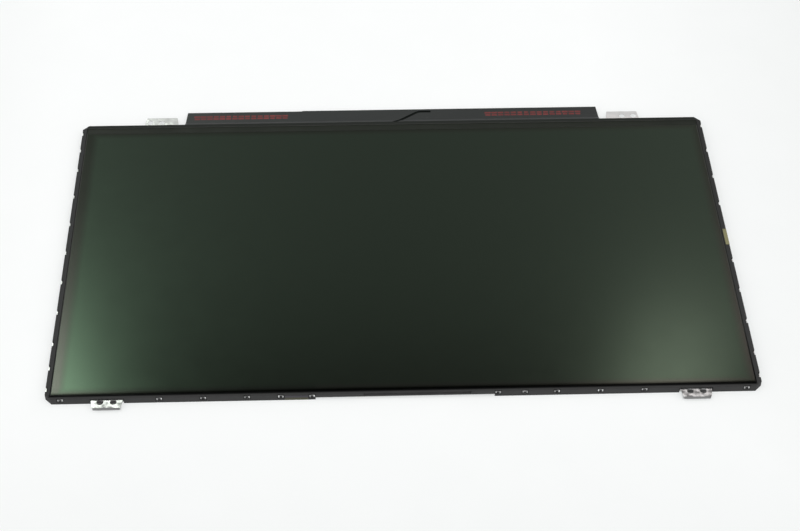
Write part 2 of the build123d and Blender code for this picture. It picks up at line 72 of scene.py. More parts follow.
# White paper under the module: dimmer towards the corners, and painted shade under the near ears
floor_size = 12.0
floor_drop = 0.02 * MM
paper_glow = (0.492, 0.506, 0.502)
corner_glow = (0.405, 0.42, 0.414)
paper_low = Vector((-240.0, -160.0, -1000.0)) * MM
paper_high = Vector((178.0, 300.0, 1000.0)) * MM
paper_fade = 140.0 * MM
ear_shade = Vector((1.2, 1.6, -9.0)) * MM
ear_shade_back = Vector((0.0, 4.0, 0.0)) * MM
ear_shade_edge = 1.2 * MM
ear_shade_tone = (0.22, 0.22, 0.22)

# Screen face: the plain border round the picture area, its strip of painted shade at the near left, the
# painted shade along its near edge, and the part by that edge which is less matt
border_left = 5.4 * MM
border_right = 3.4 * MM
border_near = 2.9 * MM
border_far = 3.0 * MM
border_edge = 5.5 * MM
shade_strip_start = Vector((8.0, 8.0, 2.0)) * MM
shade_strip_end = Vector((112.0, 0.6, 4.0)) * MM
shade_strip_edge = 1.5 * MM
edge_shade_width = 0.8 * MM
edge_shade_blur = 1.2 * MM
clear_depth = 80.0 * MM
clear_share = 0.78

# Print on the board's cover film: two fields of plain bars
print_fields = ((-103.5 * MM, -54.5 * MM), (48.2 * MM, 98.8 * MM))
print_from_wall = 5.0 * MM
print_depth = 3.1 * MM
print_rows = 2
print_pitch = 3.3 * MM
print_bar_depth = 1.3 * MM
print_bar_shares = (0.66, 0.98)
print_thickness = 0.012 * MM
print_seed = 5
film_top_strip = 2.0 * MM

# Seams between the rim and the glass: painted shade in the one by the near rim, lighter ones elsewhere
seam_reach = 0.3 * MM
seam_from_near = (10.0 * MM, 45.0 * MM)
seam_edge = 0.05 * MM
gutter_shade_depth = Vector((0.5, 1.3, 5.0)) * MM
gutter_shade_edge = 0.7 * MM

# Steel sheet: waves, roll lines, the size of patches of painted light and shade, the heights between
# which it is bent up, the middle strip where near turns into far, the painted brightening of the far
# ears' right side, and the painted shade on the lips of the near ears
sheet_wave = 5.0 * MM
sheet_wave_depth = 0.4 * MM
roll_line_depth = 0.006 * MM
bent_up_heights = (0.6 * MM, 1.4 * MM)
bent_roughness = 0.4
middle_strip = 10.0 * MM
brightening_reach = 60.0 * MM
brightening_gain = 0.26
shade_patch_size = 2.6 * MM
lip_depth = 0.3 * MM
lip_edge = 0.2 * MM

# Phosphor in the windows of the LEDs
phosphor_depth = 0.35 * MM
phosphor_edge = 0.05 * MM

# Small metal on the back of the driver board
pad_taper = 0.78
part_gap = 2.0 * MM
cap_length = 0.32 * MM
cap_wrap = 0.03 * MM
lead_height = 0.12 * MM
lead_length = 0.72 * MM
lead_share = 0.55
timing_leads = 14
timing_lead_pitch = 0.45 * MM
power_leads = 8
power_lead_pitch = 0.5 * MM
tail_leads = 8
tail_lead_pitch = 1.0 * MM
tail_lead_length = 1.1 * MM
tail_lead_width = 0.4 * MM
foot_length = 1.4 * MM
foot_width = 0.9 * MM
foot_height = 0.2 * MM
foot_shares = (0.25, 0.75)
via_rows = (2.9 * MM, 5.6 * MM, 8.5 * MM)
via_pitch = 1.7 * MM
via_radius = 0.22 * MM
via_height = 0.03 * MM
via_clearance = 0.7 * MM
via_share = 0.5
via_seed = 11
via_corners = 12
via_taper = 0.7

# Shared effects: how much slower the tone changes than the grain, the slant and length of scratches, the
# soft edges of stripes and dots, how bright a rub mark is and how dark a speckle
tone_ratio = 23.0
scuff_turn = radians(37)
scuff_stretch = 14.0
speck_ratio = 3.0
stripe_blur = 0.06
dot_blur = 0.1
rub_gain = 1.8
speckle_shade = 0.94


# Node helpers


def add(tree, kind, **settings):
    """New node of a tree, with its settings."""
    node = tree.nodes.new(kind)
    for setting, value in settings.items():
        setattr(node, setting, value)
    return node


def feed(tree, socket, value):
    """Links an output to a socket, or sets the socket to a plain value."""
    if isinstance(value, bpy.types.NodeSocket):
        tree.links.new(value, socket)
    else:
        socket.default_value = value


def arithmetic(tree, operation, *values):
    """Result of one Math node."""
    node = add(tree, "ShaderNodeMath", operation=operation)
    for socket, value in zip(node.inputs, values):
        feed(tree, socket, value)
    return node.outputs[0]


def vector_arithmetic(tree, operation, *values):
    """Result of one Vector Math node."""
    node = add(tree, "ShaderNodeVectorMath", operation=operation)
    for socket, value in zip(node.inputs, values):
        feed(tree, socket, value)
    return node.outputs[0]


def split(tree, vector):
    """The three numbers of a vector."""
    node = add(tree, "ShaderNodeSeparateXYZ")
    feed(tree, node.inputs[0], vector)
    return node.outputs


def remap(tree, value, start, end, to_start, to_end):
    """Value moved from one range to another and held inside it."""
    node = add(tree, "ShaderNodeMapRange")
    for socket, setting in zip(node.inputs, (value, start, end, to_start, to_end)):
        feed(tree, socket, setting)
    return node.outputs[0]


def blend(tree, share, first, second):
    """Colour between two colours."""
    node = add(tree, "ShaderNodeMix", data_type="RGBA")
    feed(tree, node.inputs["Factor"], share)
    feed(tree, node.inputs[6], first)
    feed(tree, node.inputs[7], second)
    return node.outputs[2]


def noise(tree, vector, scale, detail=2.0):
    """Noise of a scale, in features to the metre."""
    node = add(tree, "ShaderNodeTexNoise")
    feed(tree, node.inputs["Vector"], vector)
    feed(tree, node.inputs["Scale"], scale)
    node.inputs["Detail"].default_value = detail
    return node.outputs[0]


def either(tree, share, first, second):
    """Number between two numbers."""
    node = add(tree, "ShaderNodeMix", data_type="FLOAT")
    for socket, value in zip(node.inputs, (share, None, first, second)):
        if value is not None:
            feed(tree, socket, value)
    return node.outputs[0]


# Effects that several materials share


def shader_group(name, inputs, outputs):
    """Empty shader group with named inputs and outputs; returns the tree, its inputs and its outputs."""
    tree = bpy.data.node_groups.new(name, "ShaderNodeTree")
    for label, kind in inputs.items():
        tree.interface.new_socket(label, in_out="INPUT", socket_type="NodeSocket" + kind)
    for label in outputs:
        tree.interface.new_socket(label, in_out="OUTPUT", socket_type="NodeSocketFloat")
    return tree, add(tree, "NodeGroupInput").outputs, add(tree, "NodeGroupOutput").inputs


def grain_group():
    """Fine grain of a surface, with a slow change of tone; Stretch draws it out along an axis."""
    tree, given, result = shader_group(
        "surface_grain", {"Place": "Vector", "Stretch": "Vector", "Size": "Float"}, ("Height", "Tone"))
    place = vector_arithmetic(tree, "MULTIPLY", given["Place"], given["Stretch"])
    scale = arithmetic(tree, "DIVIDE", 1.0, given["Size"])
    feed(tree, result["Height"], noise(tree, place, scale))
    slow = arithmetic(tree, "DIVIDE", scale, tone_ratio)
    feed(tree, result["Tone"], remap(tree, noise(tree, place, slow, 4.0), 0.3, 0.7, 0.0, 1.0))
    return tree


def scuff_group():
    """Sparse marks of handling: long thin scratches and small specks."""
    tree, given, result = shader_group(
        "handling_marks", {"Place": "Vector", "Size": "Float", "Amount": "Float"}, ("Mark",))
    turned = add(tree, "ShaderNodeMapping")
    turned.inputs["Rotation"].default_value = (0, 0, scuff_turn)
    turned.inputs["Scale"].default_value = (1, scuff_stretch, 1)
    feed(tree, turned.inputs["Vector"], given["Place"])
    scale = arithmetic(tree, "DIVIDE", 1.0, given["Size"])
    streak = noise(tree, turned.outputs[0], scale, 3.0)
    speck = noise(tree, given["Place"], arithmetic(tree, "MULTIPLY", scale, speck_ratio), 1.0)
    streaks = remap(tree, streak, 0.66, 0.74, 0.0, 1.0)
    specks = remap(tree, speck, 0.72, 0.78, 0.0, 1.0)
    marks = arithmetic(tree, "MAXIMUM", streaks, specks)
    feed(tree, result["Mark"], arithmetic(tree, "MULTIPLY", marks, given["Amount"]))
    return tree


def window_group():
    """Mask that is 1 inside a box about a middle, with a soft edge."""
    tree, given, result = shader_group(
        "window_mask",
        {"Place": "Vector", "Middle": "Vector", "Half": "Vector", "Edge": "Float"},
        ("Inside",))
    away = vector_arithmetic(tree, "SUBTRACT", given["Place"], given["Middle"])
    away = vector_arithmetic(tree, "ABSOLUTE", away)
    over = split(tree, vector_arithmetic(tree, "SUBTRACT", away, given["Half"]))
    furthest = arithmetic(tree, "MAXIMUM", arithmetic(tree, "MAXIMUM", over[0], over[1]), over[2])
    outward = arithmetic(tree, "DIVIDE", furthest, given["Edge"])
    feed(tree, result["Inside"], remap(tree, outward, -0.5, 0.5, 1.0, 0.0))
    return tree


def stripe_group():
    """Even stripes along a number: 1 on a stripe, 0 between, with soft edges; Ridge rises and falls."""
    tree, given, result = shader_group(
        "even_stripes", {"Along": "Float", "Pitch": "Float", "Share": "Float"}, ("Stripe", "Ridge"))
    turns = arithmetic(tree, "DIVIDE", given["Along"], given["Pitch"])
    ridge = arithmetic(tree, "MULTIPLY", arithmetic(tree, "PINGPONG", turns, 0.5), 2.0)
    limit = arithmetic(tree, "SUBTRACT", ridge, given["Share"])
    feed(tree, result["Stripe"], remap(tree, limit, -stripe_blur, stripe_blur, 1.0, 0.0))
    feed(tree, result["Ridge"], ridge)
    return tree


def dot_group():
    """Square grid of round dots."""
    tree, given, result = shader_group(
        "dot_grid", {"Place": "Vector", "Pitch": "Float", "Radius": "Float"}, ("Dot",))
    flat = vector_arithmetic(tree, "MULTIPLY", given["Place"], (1, 1, 0))
    cells = add(tree, "ShaderNodeTexVoronoi", voronoi_dimensions="2D")
    feed(tree, cells.inputs["Vector"], flat)
    feed(tree, cells.inputs["Scale"], arithmetic(tree, "DIVIDE", 1.0, given["Pitch"]))
    cells.inputs["Randomness"].default_value = 0.0
    reach = arithmetic(tree, "MULTIPLY", cells.outputs["Distance"], given["Pitch"])
    beyond = arithmetic(tree, "SUBTRACT", reach, given["Radius"])
    over = arithmetic(tree, "DIVIDE", beyond, given["Radius"])
    feed(tree, result["Dot"], remap(tree, over, -dot_blur, dot_blur, 1.0, 0.0))
    return tree


grain_effect = grain_group()
scuff_effect = scuff_group()
window_effect = window_group()
stripe_effect = stripe_group()
dot_effect = dot_group()


class Finish:
    """Material with one Principled shader whose patterns follow the piece's own coordinates."""

    def __init__(self, name, constants):
        self.material = bpy.data.materials.new(name)
        self.material.use_nodes = True
        self.tree = self.material.node_tree
        self.shader = self.tree.nodes["Principled BSDF"]
        self.place = add(self.tree, "ShaderNodeTexCoord").outputs["Object"]
        for socket, value in constants.items():
            self.shader.inputs[socket].default_value = value

    def effect(self, group, **settings):
        """Outputs of a shared effect with this material's own values."""
        node = add(self.tree, "ShaderNodeGroup", node_tree=group)
        if "Place" in node.inputs:
            feed(self.tree, node.inputs["Place"], self.place)
        for label, value in settings.items():
            feed(self.tree, node.inputs[label], value)
        return node.outputs

    def grain(self, size, stretch=(1, 1, 1)):
        """Height and Tone of a grain of a size."""
        return self.effect(grain_effect, Size=size, Stretch=stretch)

    def marks(self, size, amount):
        """Mask of handling marks."""
        return self.effect(scuff_effect, Size=size, Amount=amount)["Mark"]

    def window(self, low, high, edge):
        """Mask of a box between two corners, with a soft edge."""
        middle, half = (low + high) / 2, (high - low) / 2
        return self.effect(window_effect, Middle=middle, Half=half, Edge=edge)["Inside"]

    def stripes(self, axis, pitch, share):
        """Stripe and Ridge of stripes that follow each other along an axis."""
        along = split(self.tree, self.place)[axis]
        return self.effect(stripe_effect, Along=along, Pitch=pitch, Share=share)

    def dots(self, pitch, radius):
        """Mask of a grid of dots."""
        return self.effect(dot_effect, Pitch=pitch, Radius=radius)["Dot"]

    def between(self, share, first, second):
        """Colour between two colours, given as three numbers or as an output."""
        return blend(self.tree, share, (*first, 1) if isinstance(first, tuple) else first,
                     (*second, 1) if isinstance(second, tuple) else second)

    def range(self, value, low, high):
        """Value from 0 to 1 taken to a range."""
        return remap(self.tree, value, 0.0, 1.0, low, high)

    def set(self, socket, value):
        """Feeds one of the shader's inputs."""
        feed(self.tree, self.shader.inputs[socket], value)

    def relief(self, height, depth):
        """Bump of a depth in metres."""
        bump = add(self.tree, "ShaderNodeBump")
        bump.inputs["Distance"].default_value = depth
        bump.inputs["Strength"].default_value = 1.0
        feed(self.tree, bump.inputs["Height"], height)
        self.set("Normal", bump.outputs[0])


# Finishes


def near_ears():
    """Boxes of the two ears that stand out beyond the near wall."""
    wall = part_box("mould_frame")[0].y
    beyond = [vertex.co for vertex in nodes["rear_cover"].data.vertices if vertex.co.y < wall]
    halves = [point for point in beyond if point.x < 0], [point for point in beyond if point.x > 0]
    return [(Vector(map(min, *half)), Vector(map(max, *half))) for half in halves]


def moulded_plastic(name, dark, light, grain_size):
    """Moulded plastic with a fine matt grain and faint rub marks."""
    finish = Finish(name, {"IOR": 1.47})
    grain = finish.grain(grain_size)
    rubbed = finish.marks(size=12 * MM, amount=0.5)
    toned = finish.between(grain["Tone"], dark, light)
    rub_tone = tuple(min(1.0, rub_gain * part) for part in light)
    finish.set("Base Color", finish.between(rubbed, toned, rub_tone))
    finish.set("Roughness", finish.range(grain["Tone"], 0.44, 0.58))
    finish.relief(grain["Height"], depth=0.012 * MM)
    return finish.material


def seam_lightening(finish):
    """Share by which the seam round the glass is lighter: none by the near rim, and full further away."""
    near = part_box("colour_filter_glass")[0].y
    start, end = seam_from_near
    return remap(finish.tree, split(finish.tree, finish.place)["Y"], near + start, near + end, 0.0, 1.0)


def frame_plastic():
    """Black matt plastic, greyer towards the near edge, with painted shade in the near gutter."""
    finish = Finish("frame_plastic", {"IOR": 1.43, "Specular IOR Level": 0.1})
    low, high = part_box("mould_frame")
    grain = finish.grain(size=0.18 * MM)
    rubbed = finish.marks(size=12 * MM, amount=0.4)
    place = split(finish.tree, finish.place)
    towards_near = remap(finish.tree, place["Y"], low.y, high.y, 1.0, 0.0)
    cell_low, cell_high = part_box("colour_filter_glass")
    # Painted shade in the gutter between the near rim and the glass
    gutter_shade_end = Vector((cell_high.x, cell_low.y, cell_high.z + MM))
    gutter_shade = finish.window(cell_low - gutter_shade_depth, gutter_shade_end, gutter_shade_edge)
    black = finish.between(grain["Tone"], (0.018, 0.0205, 0.018), (0.019, 0.0215, 0.0187))
    across = remap(finish.tree, place["X"], cell_low.x, cell_high.x, 0.0, 1.0)
    greyed = finish.between(across, (0.039, 0.0405, 0.0405), (0.030, 0.0305, 0.0295))
    inner_low = Vector((cell_low.x, low.y - MM, low.z - MM))
    inner_high = Vector((cell_high.x, high.y + MM, high.z + MM))
    between_sides = finish.window(inner_low, inner_high, seam_edge)
    black = finish.between(between_sides, greyed, black)
    near_grey = finish.between(grain["Tone"], (0.038, 0.038, 0.038), (0.044, 0.044, 0.044))
    toned = finish.between(towards_near, black, near_grey)
    seam_low = cell_low + Vector((-seam_reach, 0, -cell_low.z))
    seam_high = Vector((cell_high.x + seam_reach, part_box("ledge_tape")[1].y + seam_reach, high.z))
    seam = finish.window(seam_low, seam_high, seam_edge)
    seam = arithmetic(finish.tree, "MULTIPLY", seam, seam_lightening(finish))
    toned = finish.between(seam, toned, (0.05, 0.052, 0.048))
    rubbed = arithmetic(finish.tree, "MULTIPLY", rubbed, towards_near)
    toned = finish.between(rubbed, toned, (0.051, 0.051, 0.051))
    finish.set("Base Color", finish.between(gutter_shade, toned, (0.0004, 0.0004, 0.0004)))
    finish.set("Roughness", finish.range(grain["Tone"], 0.62, 0.74))
    finish.relief(grain["Height"], depth=0.008 * MM)
    return finish.material


def rolled_steel(name, line_size, roughness, ears):
    """Bright rolled steel with roll lines and faint scuffs; painted light and shade where it is bent up.
    """
    finish = Finish(name, {"Metallic": 1.0})
    lines = finish.grain(line_size, stretch=(0.04, 1, 1))
    scuffs = finish.marks(size=9 * MM, amount=0.6)
    sheet = finish.between(lines["Tone"], (0.56, 0.56, 0.55), (0.68, 0.68, 0.67))
    sheet = finish.between(scuffs, sheet, (0.44, 0.44, 0.44))
    place = split(finish.tree, finish.place)
    bent_up = remap(finish.tree, place["Z"], *bent_up_heights, 0.1, 1.0)
    # Painted light and shade in patches on the bent-up parts, lighter towards the right on the far side
    shade_patches = finish.grain(shade_patch_size)["Height"]
    deep = remap(finish.tree, shade_patches, 0.34, 0.66, 0.0, 1.0)
    painted_brightening = remap(finish.tree, place["X"], -brightening_reach, brightening_reach, 0.0, brightening_gain)
    faint = arithmetic(finish.tree, "ADD", finish.range(shade_patches, 0.4, 0.62), painted_brightening)
    near = remap(finish.tree, place["Y"], -middle_strip, middle_strip, 1.0, 0.0)
    painted_patches = finish.between(either(finish.tree, near, faint, deep), (0.2, 0.2, 0.2), (0.85, 0.85, 0.85))
    sheet = finish.between(remap(finish.tree, bent_up, 0.2, 1.0, 0.0, 1.0), sheet, painted_patches)
    # Painted shade on the front lip of each near ear
    for low, high in ears:
        front = Vector((high.x + MM, low.y + lip_depth, high.z))
        lip_shade = finish.window(low - margin, front, lip_edge)
        sheet = finish.between(lip_shade, sheet, (0.24, 0.24, 0.24))
    finish.set("Base Color", sheet)
    worn = arithmetic(finish.tree, "MULTIPLY", bent_up, bent_roughness)
    smooth = finish.range(lines["Height"], roughness - 0.08, roughness + 0.1)
    finish.set("Roughness", arithmetic(finish.tree, "MAXIMUM", smooth, worn))
    wave = arithmetic(finish.tree, "MULTIPLY", finish.grain(sheet_wave)["Height"], bent_up)
    wave = arithmetic(finish.tree, "MULTIPLY", wave, sheet_wave_depth)
    roll = arithmetic(finish.tree, "MULTIPLY", lines["Height"], roll_line_depth)
    finish.relief(arithmetic(finish.tree, "ADD", wave, roll), depth=1.0)
    return finish.material


def matt_screen():
    """Anti-glare polariser: near black with a green cast in the picture area and a plain dark border."""
    finish = Finish("matt_screen", {"IOR": 1.5, "Specular Tint": (0.58, 1.0, 0.645, 1)})
    face_low, face_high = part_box("front_polariser")
    low = face_low + Vector((border_left, border_near, -MM))
    high = face_high - Vector((border_right, border_far, -MM))
    picture = finish.window(low, high, border_edge)
    haze = finish.grain(size=9 * MM)
    lit = finish.between(haze["Tone"], (0.0001, 0.0021, 0.0003), (0.0003, 0.0026, 0.0005))
    # Painted shade in a strip at the near left of the border (the dull mask)
    dull = finish.window(low - shade_strip_start, low + shade_strip_end, shade_strip_edge)
    place = split(finish.tree, finish.place)
    across = remap(finish.tree, place["X"], face_low.x, face_high.x, 0.0, 1.0)
    border = finish.between(across, (0.027, 0.0265, 0.0245), (0.037, 0.036, 0.032))
    border = finish.between(dull, border, (0.024, 0.024, 0.022))
    # Painted shade along the near edge of the screen, by the gutter
    edge_shade_end = Vector((face_high.x + MM, face_low.y + edge_shade_width, face_high.z + MM))
    line = finish.window(face_low - margin, edge_shade_end, edge_shade_blur)
    border = finish.between(line, border, (0.009, 0.009, 0.008))
    finish.set("Base Color", finish.between(picture, border, lit))
    finish.set("Metallic", finish.range(picture, 1.0, 0.0))
    worn = remap(finish.tree, place["Y"], face_low.y, face_low.y + clear_depth, clear_share, 1.0)
    matt = finish.range(haze["Height"], 0.18, 0.215)
    finish.set("Roughness", arithmetic(finish.tree, "MULTIPLY", matt, worn))
    finish.relief(finish.grain(size=0.12 * MM)["Height"], depth=0.0004 * MM)
    return finish.material


def hidden_polariser():
    """Smooth polariser behind the cell."""
    finish = Finish("hidden_polariser", {"IOR": 1.49})
    film = finish.grain(size=4 * MM)
    finish.set("Base Color", finish.between(film["Tone"], (0.012, 0.013, 0.014), (0.018, 0.019, 0.021)))
    finish.set("Roughness", finish.range(film["Height"], 0.1, 0.18))
    return finish.material


def cell_glass():
    """Thin display glass, dark towards the cell, with finely ground edges."""
    finish = Finish("cell_glass", {"IOR": 1.5, "Specular IOR Level": 0.06})
    ground = finish.grain(size=0.4 * MM)
    dark = finish.between(ground["Tone"], (0.0008, 0.001, 0.0009), (0.0016, 0.002, 0.0018))
    finish.set("Base Color", finish.between(seam_lightening(finish), dark, (0.06, 0.061, 0.056)))
    finish.set("Roughness", finish.range(ground["Height"], 0.2, 0.3))
    return finish.material


def white_sheet(name, white, speckle):
    """White optical sheet with a fine speckle."""
    finish = Finish(name, {"IOR": 1.5})
    fibre = finish.grain(speckle)
    shaded = tuple(speckle_shade * part for part in white)
    finish.set("Base Color", finish.between(fibre["Tone"], white, shaded))
    finish.set("Roughness", finish.range(fibre["Height"], 0.42, 0.66))
    finish.relief(fibre["Height"], depth=0.004 * MM)
    return finish.material


def prism_film(name, axis):
    """Clear film with fine ridges along the other axis."""
    finish = Finish(name, {"IOR": 1.56, "Transmission Weight": 0.7})
    ridges = finish.stripes(axis, pitch=0.4 * MM, share=0.5)
    finish.set("Base Color", finish.between(ridges["Ridge"], (0.78, 0.80, 0.82), (0.90, 0.91, 0.92)))
    finish.set("Roughness", finish.range(ridges["Ridge"], 0.12, 0.28))
    finish.relief(ridges["Ridge"], depth=0.02 * MM)
    return finish.material


def acrylic_guide():
    """Clear acrylic with a grid of white extraction dots."""
    finish = Finish("acrylic_guide", {"IOR": 1.49, "Transmission Weight": 0.75})
    dots = finish.dots(pitch=0.8 * MM, radius=0.22 * MM)
    finish.set("Base Color", finish.between(dots, (0.86, 0.92, 0.90), (0.95, 0.95, 0.94)))
    finish.set("Roughness", finish.range(dots, 0.08, 0.5))
    finish.relief(dots, depth=0.01 * MM)
    return finish.material


def matt_tape(name):
    """Black adhesive film with a soft crinkle."""
    finish = Finish(name, {"IOR": 1.45, "Specular IOR Level": 0.29})
    crinkle = finish.grain(size=0.6 * MM)
    toned = finish.between(crinkle["Tone"], (0.002, 0.005, 0.0005), (0.005, 0.008, 0.0035))
    finish.set("Base Color", toned)
    finish.set("Roughness", finish.range(crinkle["Tone"], 0.5, 0.68))
    finish.relief(crinkle["Height"], depth=0.02 * MM)
    return finish.material


def cover_film():
    """Dark grey insulating film over the board, slightly wavy, with faint rub marks."""
    finish = Finish("cover_film", {"IOR": 1.46})
    wave = finish.grain(size=2.6 * MM, stretch=(0.5, 1, 1))
    rubbed = finish.marks(size=10 * MM, amount=0.35)
    toned = finish.between(wave["Tone"], (0.002, 0.005, 0.0045), (0.006, 0.009, 0.0085))
    finish.set("Base Color", finish.between(rubbed, toned, (0.02, 0.021, 0.021)))
    finish.set("Roughness", finish.range(wave["Tone"], 0.34, 0.46))
    finish.relief(wave["Height"], depth=0.02 * MM)
    return finish.material


def flex_film(name, axis, pitch):
    """Amber flex with copper traces showing through it."""
    finish = Finish(name, {"IOR": 1.6})
    traces = finish.stripes(axis, pitch, share=0.55)
    film = finish.grain(size=1.5 * MM)
    amber = finish.between(film["Tone"], (0.22, 0.085, 0.012), (0.30, 0.12, 0.018))
    finish.set("Base Color", finish.between(traces["Stripe"], amber, (0.42, 0.19, 0.05)))
    finish.set("Roughness", finish.range(traces["Stripe"], 0.26, 0.36))
    finish.relief(traces["Stripe"], depth=0.012 * MM)
    return finish.material


def masked_board():
    """Black solder mask with copper lines under it and bare glass-fibre speckle."""
    finish = Finish("masked_board", {"IOR": 1.5, "Specular IOR Level": 0.05})
    lines = finish.stripes(axis=0, pitch=0.9 * MM, share=0.42)["Stripe"]
    runs = finish.stripes(axis=1, pitch=1.3 * MM, share=0.38)["Stripe"]
    field = finish.grain(size=0.35 * MM)
    copper = blend(finish.tree, field["Tone"], lines, runs)
    finish.set("Base Color", finish.between(copper, (0.0012, 0.0018, 0.0015), (0.005, 0.008, 0.006)))
    finish.set("Roughness", finish.range(field["Height"], 0.3, 0.42))
    finish.relief(copper, depth=0.02 * MM)
    return finish.material


def chip_resin(name):
    """Black chip resin with a fine speckle."""
    finish = Finish(name, {"IOR": 1.5})
    speckle = finish.grain(size=0.08 * MM)
    resin = finish.between(speckle["Height"], (0.010, 0.010, 0.011), (0.026, 0.026, 0.027))
    finish.set("Base Color", resin)
    finish.set("Roughness", finish.range(speckle["Tone"], 0.5, 0.66))
    finish.relief(speckle["Height"], depth=0.006 * MM)
    return finish.material


def ferrite():
    """Dark grey ferrite and resistor glaze with coarse grains."""
    finish = Finish("ferrite", {"IOR": 1.55})
    grains = finish.grain(size=0.15 * MM)
    finish.set("Base Color", finish.between(grains["Height"], (0.045, 0.045, 0.048), (0.12, 0.12, 0.125)))
    finish.set("Roughness", finish.range(grains["Tone"], 0.48, 0.7))
    finish.relief(grains["Height"], depth=0.012 * MM)
    return finish.material


def fired_ceramic():
    """Tan fired ceramic of the capacitors."""
    finish = Finish("fired_ceramic", {"IOR": 1.6})
    grains = finish.grain(size=0.1 * MM)
    finish.set("Base Color", finish.between(grains["Height"], (0.34, 0.22, 0.12), (0.50, 0.34, 0.20)))
    finish.set("Roughness", finish.range(grains["Tone"], 0.36, 0.52))
    finish.relief(grains["Height"], depth=0.006 * MM)
    return finish.material


def plating(name, dark, light):
    """Plated metal with a slightly uneven skin."""
    finish = Finish(name, {"Metallic": 1.0})
    skin = finish.grain(size=0.12 * MM)
    finish.set("Base Color", finish.between(skin["Tone"], dark, light))
    finish.set("Roughness", finish.range(skin["Height"], 0.2, 0.4))
    finish.relief(skin["Height"], depth=0.008 * MM)
    return finish.material


def led_body():
    """White LED housing with yellow phosphor in its window."""
    finish = Finish("led_body", {"IOR": 1.5})
    low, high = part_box("leds")
    front = Vector((high.x, low.y + phosphor_depth, high.z))
    phosphor = finish.window(low - margin, front + Vector((MM, 0, MM)), phosphor_edge)
    skin = finish.grain(size=0.2 * MM)
    white = finish.between(skin["Tone"], (0.78, 0.78, 0.76), (0.86, 0.86, 0.84))
    finish.set("Base Color", finish.between(phosphor, white, (0.72, 0.58, 0.10)))
    finish.set("Roughness", finish.range(skin["Height"], 0.35, 0.55))
    return finish.material


def amber_strip(name, dark, light, sheen):
    """Amber adhesive strip with small creases."""
    finish = Finish(name, {"IOR": 1.52, "Coat Weight": sheen, "Coat Roughness": 0.2})
    crease = finish.grain(size=0.9 * MM, stretch=(1, 0.35, 0.35))
    finish.set("Base Color", finish.between(crease["Tone"], dark, light))
    finish.set("Roughness", finish.range(crease["Height"], 0.28, 0.5))
    finish.relief(crease["Height"], depth=0.05 * MM)
    return finish.material


def folded_strip(name, node, below, above):
    """Adhesive strip folded up a wall, of one tone below and another towards the wall's top."""
    finish = Finish(name, {"IOR": 1.5, "Specular IOR Level": 0.4})
    low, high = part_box(node)
    crease = finish.grain(size=0.9 * MM, stretch=(1, 0.35, 0.35))
    third = (high.z - low.z) / 3
    height = split(finish.tree, finish.place)["Z"]
    folded = remap(finish.tree, height, low.z + third, high.z - third, 0.0, 1.0)
    toned = finish.between(folded, below, above)
    creased = finish.range(crease["Tone"], 0.0, 0.3)
    finish.set("Base Color", finish.between(creased, toned, (0.06, 0.058, 0.05)))
    finish.set("Roughness", finish.range(crease["Height"], 0.4, 0.6))
    finish.relief(crease["Height"], depth=0.03 * MM)
    return finish.material


def red_ink():
    """Thin red print of uneven density."""
    finish = Finish("red_ink", {"IOR": 1.48, "Specular IOR Level": 0.3})
    density = finish.grain(size=0.3 * MM)
    finish.set("Base Color", finish.between(density["Tone"], (0.10, 0.018, 0.018), (0.18, 0.030, 0.028)))
    finish.set("Roughness", finish.range(density["Height"], 0.42, 0.6))
    return finish.material


def dress_nodes():
    """Gives each carried-over node its finish."""
    resin = chip_resin("chip_resin")
    glass = cell_glass()
    tape = matt_tape("matt_tape")
    grey_parts = ferrite()
    finishes = {
        "rear_cover": rolled_steel("rolled_steel", 0.22 * MM, 0.2, near_ears()),
        "connector_shell": rolled_steel("shell_steel", 0.1 * MM, 0.3, []),
        "mould_frame": frame_plastic(),
        "signal_connector": moulded_plastic("socket_plastic", (0.014,) * 3, (0.022,) * 3, 0.1 * MM),
        "led_connector": moulded_plastic("ivory_plastic", (0.66, 0.61, 0.5), (0.74, 0.69, 0.6), 0.1 * MM),
        "timing_chip": resin,
        "power_chip": resin,
        "source_chips": resin,
        "front_polariser": matt_screen(),
        "rear_polariser": hidden_polariser(),
        "colour_filter_glass": glass,
        "array_glass": glass,
        "reflector_sheet": white_sheet("reflector_white", (0.88, 0.88, 0.87), 0.2 * MM),
        "upper_diffuser": white_sheet("upper_diffuser_white", (0.82, 0.82, 0.82), 0.08 * MM),
        "lower_diffuser": white_sheet("lower_diffuser_white", (0.84, 0.84, 0.83), 0.12 * MM),
        "upper_prism_sheet": prism_film("upper_prism_film", 0),
        "lower_prism_sheet": prism_film("lower_prism_film", 1),
        "light_guide_plate": acrylic_guide(),
        "leds": led_body(),
        "led_strip": flex_film("strip_flex", 1, 1.1 * MM),
        "board_flexes": flex_film("glass_flex", 0, 0.5 * MM),
        "cell_tape": tape,
        "ledge_tape": tape,
        "board_tape": tape,
        "board_cover": cover_film(),
        "driver_board": masked_board(),
        "inductors": grey_parts,
        "resistors": grey_parts,
        "capacitors": fired_ceramic(),
        "connector_contacts": plating("contact_gold", (0.72, 0.48, 0.18), (0.84, 0.58, 0.24)),
        "side_tape": amber_strip("side_amber", (0.13, 0.12, 0.035), (0.27, 0.26, 0.11), 0.5),
        "near_tape": folded_strip("wall_strip", "near_tape", (0.038, 0.038, 0.012), (0.023, 0.019, 0.03)),
        "relief_tape": amber_strip("relief_amber", (0.10, 0.075, 0.02), (0.16, 0.12, 0.04), 0.3),
    }
    for node, material in finishes.items():
        nodes[node].material_slots[0].material = material


# Repeated small pieces, made by Geometry Nodes


